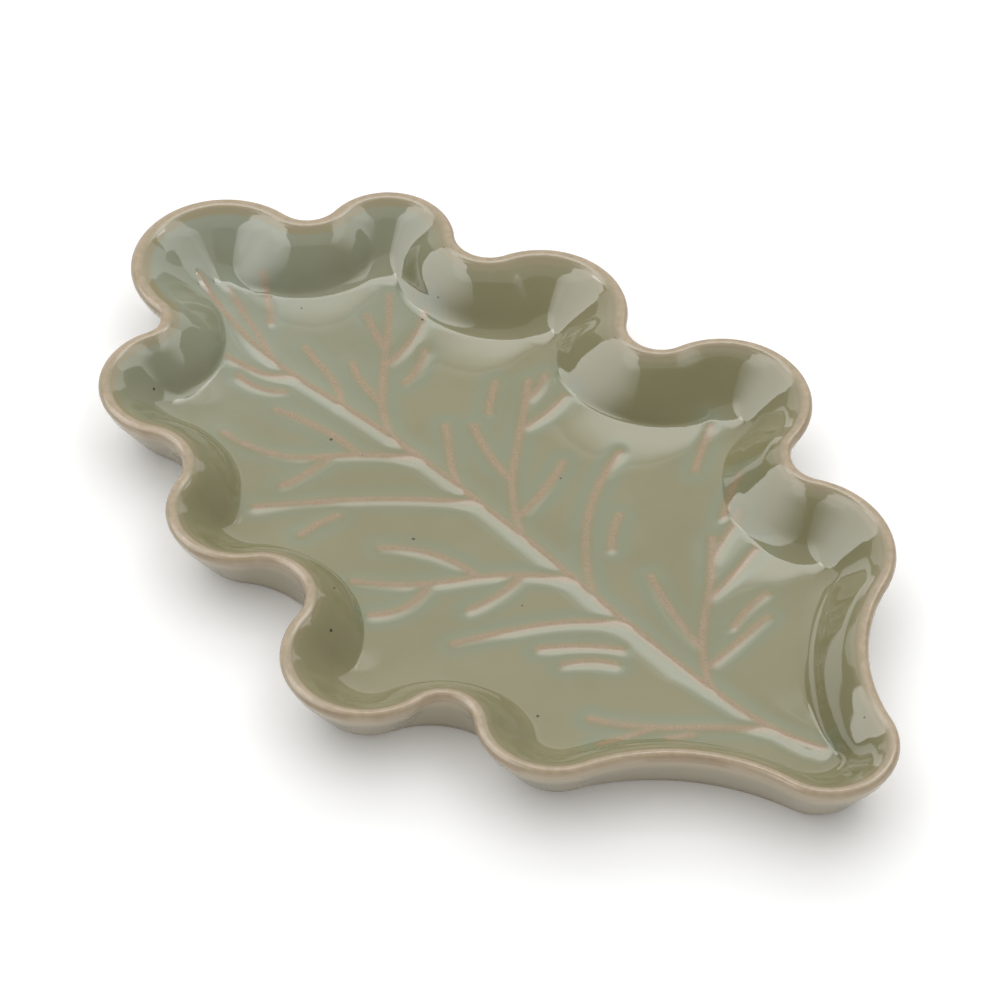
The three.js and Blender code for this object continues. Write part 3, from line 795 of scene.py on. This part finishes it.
def celadon_glaze(specks):
    """Olive green glaze: tan where it is thin over an edge or a line, sea green where it pools.

    It is paler blue-green by the leaf's tip, and grey buff outside, which is partly painted light and a
    painted reflection of the white table.
    """
    material = new_material("celadon_glaze")
    tree = material.node_tree
    place = add(tree, "ShaderNodeTexCoord").outputs["Object"]
    cover = add(tree, "ShaderNodeAttribute", attribute_name="cover").outputs["Fac"]
    bare = add(tree, "ShaderNodeAttribute", attribute_name="bare").outputs["Fac"]
    pool = add(tree, "ShaderNodeAttribute", attribute_name="pool").outputs["Fac"]
    outside = add(tree, "ShaderNodeAttribute", attribute_name="outside").outputs["Fac"]
    cloud = noise(tree, place, GLAZE_CLOUDS)
    grain = noise(tree, place, GLAZE_GRAIN)
    speckle = noise(tree, place, LINE_SPECKLE, detail=2.0)
    along = add(tree, "ShaderNodeSeparateXYZ", {0: place}).outputs["X"]
    tip_end = ramp(tree, along, TIP_PALE_START, TIP_PALE_FULL, 0.0, TIP_PALE_SHARE)
    body = mix(tree, ramp(tree, cloud, *PALE_LEVELS), OLIVE, PALE_OLIVE)
    pooled = maths(tree, "MULTIPLY", pool, ramp(tree, cloud, *POOL_LEVELS, *POOL_SHARES))
    body = mix(tree, pooled, body, SEA_GREEN)
    # Paler blue-green towards the tip
    tip_pale = maths(tree, "MULTIPLY", tip_end, ramp(tree, cloud, *TIP_PALE_LEVELS, *TIP_PALE_SHARES))
    body = mix(tree, tip_pale, body, PALE_TIP_GREEN)
    # Grey buff outside: partly the glaze's colour, partly painted light and a painted reflection of the
    # white table
    body = mix(tree, maths(tree, "MULTIPLY", outside, OUTSIDE_BUFF_AND_SHEEN), body, GREY_BUFF_AND_SHEEN)
    blotch = maths(tree, "MULTIPLY", maths(tree, "SUBTRACT", grain, NOISE_MIDDLE), EDGE_GRAIN)
    uneven = maths(tree, "ADD", cover, blotch)
    # The thin edge outside is pale tan, partly painted light
    edge = mix(tree, outside, OLIVE_TAN, PALE_TAN_AND_SHEEN)
    body = mix(tree, ramp(tree, uneven, *EDGE_LEVELS), edge, body)
    line = maths(tree, "MULTIPLY", bare, ramp(tree, grain, *LINE_LEVELS, *LINE_SHARES))
    line_tan = mix(tree, ramp(tree, speckle, *SPECKLE_LEVELS), PINK_TAN, BURNT_TAN)
    body = mix(tree, line, body, line_tan)
    spots = add(tree, "ShaderNodeGroup", node_tree=specks).outputs[0]
    body = mix(tree, spots, body, IRON_SPECK)
    waves = noise(tree, place, GLAZE_RIPPLES, detail=1.0)
    ripple = add(
        tree, "ShaderNodeBump", {"Strength": 1.0, "Distance": RIPPLE_HEIGHT, "Height": waves},
    ).outputs[0]
    surface = add(
        tree, "ShaderNodeBsdfPrincipled",
        {"Base Color": body, "Roughness": GLAZE_ROUGHNESS, "IOR": GLAZE_IOR, "Normal": ripple},
    )
    tree.links.new(surface.outputs[0], add(tree, "ShaderNodeOutputMaterial").inputs[0])
    return material


def rim_stoneware(specks):
    """Stoneware with only a thin film of glaze.

    It is tan along the lip, paler outside (partly painted light), greener to the bowl, iron brown in
    patches and dull on the foot.
    """
    material = new_material("rim_stoneware")
    tree = material.node_tree
    place = add(tree, "ShaderNodeTexCoord").outputs["Object"]
    worn = add(tree, "ShaderNodeAttribute", attribute_name="worn").outputs["Fac"]
    foot = add(tree, "ShaderNodeAttribute", attribute_name="foot").outputs["Fac"]
    film = add(tree, "ShaderNodeAttribute", attribute_name="film").outputs["Fac"]
    veil = add(tree, "ShaderNodeAttribute", attribute_name="veil").outputs["Fac"]
    cloud = noise(tree, place, RIM_CLOUDS)
    grain = noise(tree, place, RIM_GRAIN)
    body = mix(tree, ramp(tree, grain, *RIM_LEVELS), TAN, LIGHT_TAN)
    body = mix(tree, film, body, OLIVE_TAN)
    # Paler on the lip's outer round: partly a thin veil of glaze, partly painted light
    body = mix(tree, veil, body, PALE_TAN_AND_SHEEN)
    iron = maths(tree, "MULTIPLY", worn, ramp(tree, cloud, *IRON_LEVELS, *IRON_SHARES))
    body = mix(tree, iron, body, IRON_BROWN)
    body = mix(tree, foot, body, CLAY_BUFF)
    spots = add(tree, "ShaderNodeGroup", node_tree=specks).outputs[0]
    body = mix(tree, spots, body, IRON_SPECK)
    dull = ramp(tree, foot, 0.0, 1.0, FILM_ROUGHNESS, FOOT_ROUGHNESS)
    finish = {"Base Color": body, "Roughness": dull, "IOR": GLAZE_IOR}
    surface = add(tree, "ShaderNodeBsdfPrincipled", finish)
    tree.links.new(surface.outputs[0], add(tree, "ShaderNodeOutputMaterial").inputs[0])
    return material


def vein_slip():
    """Buff slip of the lines under the glaze."""
    material = new_material("vein_slip")
    tree = material.node_tree
    place = add(tree, "ShaderNodeTexCoord").outputs["Object"]
    grain = noise(tree, place, SLIP_GRAIN)
    body = mix(tree, grain, PINK_TAN, CLAY_BUFF)
    finish = {"Base Color": body, "Roughness": SLIP_ROUGHNESS}
    surface = add(tree, "ShaderNodeBsdfPrincipled", finish)
    tree.links.new(surface.outputs[0], add(tree, "ShaderNodeOutputMaterial").inputs[0])
    return material


# Pieces


def skin_of(section, thickness):
    """Insets and heights of the glaze's surface over a section of clay."""
    return section[:, :2] + section[:, 2:] * thickness[:, None]


def make_inner_glaze(material):
    """The coat of glaze in the bowl, from the lip to the floor, swelling over the slip lines.

    It is thickest low on the wall: the dished floor starts right over the line where the clay's floor does.
    """
    glaze_fillet = FLOOR_FILLET - GLAZE_THICKNESS
    lift = FLOOR_POOL + EDGE_RISE - glaze_fillet * (1 - math.cos(EDGE_SLOPE))
    section = inside_section(*GLAZE_STEPS, lift, EDGE_SLOPE)
    thickness = GLAZE_THICKNESS * smooth(travel_along(section) / GLAZE_FEATHER)
    rows = skin_of(section, thickness)
    fallen = (rows[0, 1] - rows[:, 1]) / (rows[0, 1] - rows[-1, 1])
    rows[:, 0] += fallen * (fillet_middle[0] - rows[-1, 0])
    rings = rings_of(rows, INSIDE)
    size = len(rings[0])

    midrib_line = midrib_curve() * stretch
    lines = vein_strokes()
    edge = rings[-1][:, :2]
    plan = [Vector(point) for point in np.concatenate([edge, floor_points(edge)])]
    bounds = [(i, (i + 1) % size) for i in range(size)]
    corners, _, triangles, *_ = delaunay_2d_cdt(plan, bounds, [], KEEP_INSIDE, JOIN_DISTANCE)
    floor = np.array([corner[:] for corner in corners])
    first = (len(rings) - 1) * size
    triangles = [[first + corner for corner in triangle] for triangle in triangles]
    height = FLOOR_HEIGHT + GLAZE_THICKNESS + FLOOR_POOL + edge_rise(floor, edge)
    height[:size] = rings[-1][:, 2]
    points = np.concatenate(rings[:-1] + [np.column_stack([floor, height])])
    cover = np.concatenate([np.repeat(thickness[:-1], size), np.full(len(floor), GLAZE_THICKNESS)])
    surface = make_object("bowl_surface", points, loft_faces(len(rings), size) + triangles)
    midrib_object = stroke_object("midrib_line", [midrib_line])
    lines_object = stroke_object("vein_lines", lines)
    raised = raise_lines(surface, midrib_object, lines_object, material)

    top = np.empty(len(raised.vertices) * 3, dtype=np.float32)
    raised.vertices.foreach_get("co", top)
    top = top.reshape(-1, 3) / MM
    values = {"cover": cover / GLAZE_THICKNESS}
    for name in ("bare", "pool"):
        values[name] = np.empty(len(top), dtype=np.float32)
        raised.attributes[name].data.foreach_get("value", values[name])
    faces = [list(polygon.vertices) for polygon in raised.polygons]

    bed = inside_section(*BACK_STEPS)[1:]
    seat = rings_of(skin_of(bed, np.full(len(bed), GLAZE_SEAT)), INSIDE)
    count = len(top)
    for below in loft_faces(len(seat), size):
        faces.append([count + corner for corner in reversed(below)])
    for corner in range(size):
        following = (corner + 1) % size
        faces.append([corner, count + corner, count + following, following])
    faces.append([count + (len(seat) - 1) * size + corner for corner in reversed(range(size))])
    hidden = len(seat) * size
    piece = make_object("inner_glaze_coat", np.concatenate([top] + seat), faces, material)
    for name, value in values.items():
        store(piece.data, name, np.concatenate([value, np.zeros(hidden)]))
    for spare in (surface, midrib_object, lines_object):
        bpy.data.objects.remove(spare)
    return piece


def wall_ring(upper, lower, share, thickness):
    """The ring at a share of the way down the outer wall, moved out square to it."""
    points = upper + (lower - upper) * share
    outward = np.cross(lower - upper, ring_directions(points))
    return points + outward / np.linalg.norm(outward, axis=1)[:, None] * thickness


def outer_wall_rings():
    """The rings at the upper and the lower end of the outer wall."""
    upper = round_section(lip_outer_centre, LIP_OUTER_RADIUS, np.array([outer_wall]), CONVEX)[0]
    lower = round_section(heel_centre, HEEL_RADIUS, np.array([outer_wall]), CONVEX)[0]
    return ring(upper[0], upper[1], OUTSIDE), ring(lower[0], lower[1], OUTSIDE)


def make_outer_glaze(material):
    """The coat of glaze on the outer wall, feathered out under the lip and above the heel."""
    upper, lower = outer_wall_rings()
    height = upper[0, 2] - lower[0, 2]
    slant = height / math.sin(-outer_wall)
    shares = np.linspace(1.0, 0.0, OUTER_ROWS)
    cover = smooth(shares * slant / GLAZE_FEATHER) * smooth((1 - shares) * slant / GLAZE_FEATHER)
    rings = [wall_ring(upper, lower, share, GLAZE_THICKNESS * thick) for share, thick in zip(shares, cover)]
    hidden = [wall_ring(upper, lower, share, -GLAZE_SEAT) for share in COAT_BACK]
    size = len(upper)
    faces = loft_faces(len(rings) + len(hidden), size, wraps=True)
    piece = make_object("outer_glaze_coat", np.concatenate(rings + hidden), faces, material)
    below_lip = smooth((shares * slant - LIP_TAN_DEPTH) / LIP_TAN_FADE)
    cover_rows = np.concatenate([below_lip, np.ones(len(hidden))])
    pool_rows = np.concatenate([smooth(shares) * OUTER_POOL, np.zeros(len(hidden))])
    store(piece.data, "cover", np.repeat(cover_rows, size))
    store(piece.data, "pool", np.repeat(pool_rows, size))
    store(piece.data, "outside", np.ones(len(piece.data.vertices)))
    return piece


def make_clay_body(material):
    """The pressed dish: foot ring and recess, heel, lip, and the faces that the glaze lies on."""
    heel_angles = np.linspace(-math.pi, outer_wall, HEEL_ROWS)
    lip_out_angles = np.linspace(outer_wall, 0.0, LIP_OUTER_ROWS)
    lip_in_angles = np.linspace(0.0, GLAZE_STARTS, LIP_INNER_ROWS)
    heel = round_section(heel_centre, HEEL_RADIUS, heel_angles, CONVEX)
    lip_out = round_section(lip_outer_centre, LIP_OUTER_RADIUS, lip_out_angles, CONVEX)
    lip_in = round_section(lip_inner_centre, LIP_INNER_RADIUS, lip_in_angles, CONVEX)
    inside = np.concatenate([lip_in[1:], inside_section(*CLAY_STEPS)[1:]])
    upper, lower = outer_wall_rings()
    wall = [wall_ring(upper, lower, share, 0.0) for share in np.linspace(1.0, 0.0, OUTER_ROWS)[1:-1]]
    rings = rings_of(heel, OUTSIDE) + wall + rings_of(lip_out, OUTSIDE) + rings_of(inside, INSIDE)
    foot_edge = rings[0]
    edge_rows = (
        (FOOT_WIDTH + RECESS_DRAFT, RECESS_DEPTH),
        (FOOT_WIDTH + FOOT_CHAMFER, FOOT_CHAMFER),
        (FOOT_WIDTH - FOOT_CHAMFER, 0.0),
    )
    below = [drawn_in(foot_edge, inset, lift) for inset, lift in edge_rows]
    rings = below + rings
    size = len(foot_edge)
    faces = loft_faces(len(rings), size)
    faces.append(list(reversed(range(size))))
    faces.append([(len(rings) - 1) * size + corner for corner in range(size)])
    piece = make_object("pressed_clay_body", np.concatenate(rings), faces, material)

    def store_rows(name, before, before_value, change, after_value):
        """A value that holds for the first rows, changes over the next ones and holds for the rest."""
        values = np.full(len(rings), after_value)
        values[:before] = before_value
        values[before:before + len(change)] = change
        store(piece.data, name, np.repeat(values, size))

    under_lip = len(below) + len(heel) + len(wall)
    bare_rows = len(below) + BARE_HEEL_ROWS
    # The pale veil on the lip's outer round is partly painted light
    lip_veil_and_sheen = smooth(np.linspace(*VEIL_AND_SHEEN_FADES, len(lip_out)))
    lip_film = smooth(np.linspace(0.0, 1.0, len(lip_in)))[1:]
    lip_wear = smooth(np.concatenate([np.linspace(*LIP_WEAR_GROWS), np.linspace(*LIP_WEAR_FADES)]))
    heel_bareness = np.linspace(*HEEL_BARENESS, len(heel) - BARE_HEEL_ROWS)
    store_rows("veil", under_lip, 1.0, lip_veil_and_sheen, 0.0)
    store_rows("film", under_lip + len(lip_out), 0.0, lip_film, 1.0)
    store_rows("worn", under_lip, 0.0, lip_wear, 0.0)
    store_rows("foot", bare_rows, 1.0, heel_bareness, 0.0)
    return piece


# Stage: table, lamps, world and camera

TABLE_WHITE = colour(0.95, 0.95, 0.95)
TABLE_LIFT = 0.09
TABLE_REACH = 4000.0
ROOM_LIGHT = 0.38

# Turns are in degrees from the picture's back to its right, elevations in degrees, and sizes in metres.
# A soft share is how much of a card's width fades out to the front, or of its height downwards.
Lamp = namedtuple(
    "Lamp", "name turn elevation distance width height brightness shape soft_front soft_below",
    defaults=("RECTANGLE", 0.0, 0.0),
)
SOFTBOXES = (
    Lamp("overhead_softbox", 0, 88, 1.5, 2.0, 1.2, 0.7),
    Lamp("backdrop_light", 0, 36, 1.6, 3.0, 1.0, 1.3),
)
FILLS = (
    Lamp("front_fill", 180, 6, 1.8, 3.0, 0.4, 1.4),
    Lamp("back_fill", 0, 55, 1.5, 2.0, 1.0, 0.9),
    Lamp("left_fill", -100, 60, 1.5, 1.5, 1.0, 0.75),
    Lamp("right_fill", 100, 60, 1.5, 1.5, 1.0, 0.75),
)
CARDS = (
    Lamp("band_card", -5, 60.2, 1.4, 1.65, 0.5, 5.0, soft_below=0.5),
    Lamp("left_card", -101, 40, 1.1, 1.7, 1.2, 3.2, shape="ELLIPSE", soft_front=0.6),
    Lamp("right_card", 82, 55, 0.8, 0.75, 0.4, 2.5, soft_front=0.5),
    Lamp("low_card", -60, 6, 1.3, 2.2, 0.25, 1.5, soft_front=0.2),
)

UP = Vector((0.0, 0.0, 1.0))
picture_right = CAMERA_LOOKS.cross(UP).normalized()
picture_back = UP.cross(picture_right).normalized()


def make_table():
    """A white table that reaches out of the picture and keeps the dish's shadow."""
    material = new_material("white_table")
    tree = material.node_tree
    seen = add(tree, "ShaderNodeLightPath").outputs["Is Camera Ray"]
    matt = add(tree, "ShaderNodeBsdfDiffuse", {"Color": TABLE_WHITE})
    lift = maths(tree, "MULTIPLY", seen, TABLE_LIFT)
    glow = add(tree, "ShaderNodeEmission", {"Color": WHITE, "Strength": lift})
    both = add(tree, "ShaderNodeAddShader", {0: matt.outputs[0], 1: glow.outputs[0]})
    tree.links.new(both.outputs[0], add(tree, "ShaderNodeOutputMaterial").inputs[0])
    reach = TABLE_REACH
    corners = [(-reach, -reach, 0.0), (reach, -reach, 0.0), (reach, reach, 0.0), (-reach, reach, 0.0)]
    return make_object("table", corners, [[0, 1, 2, 3]], material)


def softbox(lamp):
    """A lamp with a flat face turned to the dish."""
    light = bpy.data.lights.new(lamp.name, "AREA")
    light.shape = lamp.shape
    light.size = lamp.width
    light.size_y = lamp.height
    light.energy = lamp.brightness * math.pi * lamp.width * lamp.height
    holder = bpy.data.objects.new(lamp.name, light)
    bpy.context.scene.collection.objects.link(holder)
    turn = math.radians(lamp.turn)
    elevation = math.radians(lamp.elevation)
    level = picture_back * math.cos(turn) + picture_right * math.sin(turn)
    way = level * math.cos(elevation) + UP * math.sin(elevation)
    holder.location = CAMERA_AIM + way * lamp.distance
    holder.rotation_euler = (-way).to_track_quat("-Z", "Y").to_euler()
    return holder


def soft_card(lamp):
    """A card that only the glaze's reflections show, faded out at its front or its lower edge."""
    card = softbox(lamp)
    card.visible_diffuse = False
    card.data.use_nodes = True
    tree = card.data.node_tree
    tree.nodes.clear()
    place = add(tree, "ShaderNodeNewGeometry").outputs["Parametric"]
    shares = add(tree, "ShaderNodeSeparateXYZ", {0: place}).outputs
    if lamp.soft_below > 0:
        strength = ramp(tree, shares["Y"], 0.0, lamp.soft_below)
    else:
        front = 1.0 if lamp.turn < 0 else 0.0
        inner = front + math.copysign(lamp.soft_front, lamp.turn)
        strength = ramp(tree, shares["X"], front, inner)
    glow = add(tree, "ShaderNodeEmission", {"Color": WHITE, "Strength": strength})
    tree.links.new(glow.outputs[0], add(tree, "ShaderNodeOutputLight").inputs[0])


def make_lamps():
    """Softboxes, fills that light the dish without showing in the glaze, and cards that only show in it."""
    for lamp in SOFTBOXES:
        softbox(lamp)
    for lamp in FILLS:
        softbox(lamp).visible_glossy = False
    for lamp in CARDS:
        soft_card(lamp)


def make_world():
    """An even white room, full white behind the dish and dimmer as a light."""
    world = bpy.data.worlds.new("studio")
    bpy.context.scene.world = world
    world.use_nodes = True
    tree = world.node_tree
    tree.nodes.clear()
    seen = add(tree, "ShaderNodeLightPath").outputs["Is Camera Ray"]
    strength = maths(tree, "MAXIMUM", seen, ROOM_LIGHT)
    sky = add(tree, "ShaderNodeBackground", {"Color": WHITE, "Strength": strength})
    tree.links.new(sky.outputs[0], add(tree, "ShaderNodeOutputWorld").inputs[0])


def make_camera():
    """The photo's camera."""
    camera = bpy.data.cameras.new("photo_camera")
    camera.lens = CAMERA_LENS
    camera.sensor_width = CAMERA_SENSOR
    camera.clip_end = CAMERA_REACH
    holder = bpy.data.objects.new("photo_camera", camera)
    bpy.context.scene.collection.objects.link(holder)
    looks = CAMERA_LOOKS.normalized()
    holder.location = CAMERA_AIM - looks * CAMERA_DISTANCE
    holder.rotation_euler = looks.to_track_quat("-Z", "Y").to_euler()
    bpy.context.scene.camera = holder


# The dish, on its table

bpy.context.scene.view_settings.view_transform = "Standard"
specks = speck_group()
glaze = celadon_glaze(specks)
stoneware = rim_stoneware(specks)
slip = vein_slip()

clay_body = make_clay_body(stoneware)
inner_glaze = make_inner_glaze(glaze)
outer_glaze = make_outer_glaze(glaze)
for piece, node, slot in (
    (clay_body, "clay_body", "stoneware"),
    (inner_glaze, "inner_glaze", "glaze"),
    (outer_glaze, "outer_glaze", "glaze"),
):
    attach(piece, "root")
    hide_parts(node)

for name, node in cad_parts.items():
    if name == "midrib" or name.startswith(("vein_", "dash_")):
        node.data.materials.clear()
        node.data.materials.append(slip)

table = make_table()
make_lamps()
make_world()
make_camera()
